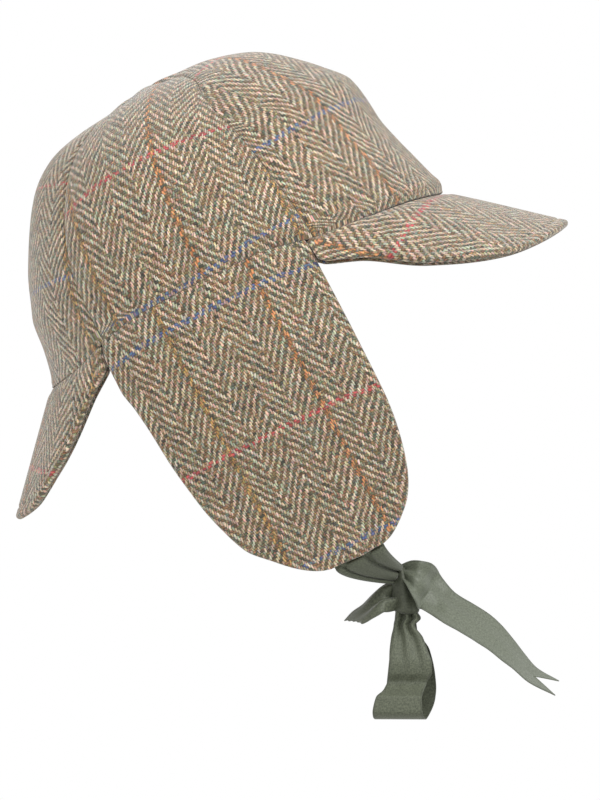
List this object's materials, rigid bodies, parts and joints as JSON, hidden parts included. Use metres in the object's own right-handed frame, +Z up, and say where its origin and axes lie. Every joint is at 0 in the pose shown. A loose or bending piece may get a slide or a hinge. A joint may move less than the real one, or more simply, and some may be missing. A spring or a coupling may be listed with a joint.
{
  "type": "deerstalker hat",
  "caption": "Herringbone tweed deerstalker hat worn with its ear flaps down, peaks in front and behind, and a ribbon tied in a half bow under the chin.",
  "frame": {"origin": "the middle of the rim plane, where the head stands in the hollow crown, on the hat's plane of symmetry", "axes": "+X forwards, the way the wearer faces; +Y to the wearer's left; +Z straight up as worn, the rim plane leaning back 26.6 degrees from level"},
  "size_m": [0.255, 0.1662, 0.3098],
  "materials": {
    "tweed": "herringbone wool tweed, matt and slightly hairy, with a windowpane overcheck",
    "band": "dark plain woven band and lining",
    "ribbon": "grey-green satin ribbon with a soft sheen"
  },
  "bodies": {
    "root": {"crown_front_left": "tweed", "crown_side_left": "tweed", "crown_rear_left": "tweed", "ear_flap_left": "tweed", "tie_left": "ribbon", "crown_front_right": "tweed", "crown_side_right": "tweed", "crown_rear_right": "tweed", "ear_flap_right": "tweed", "tie_right": "ribbon", "peak_front": "tweed", "peak_rear": "tweed", "rim_band": "band", "bow_knot": "ribbon", "bow_loop": "ribbon", "tail_front": "ribbon", "tail_rear": "ribbon"}
  },
  "joints": []
}
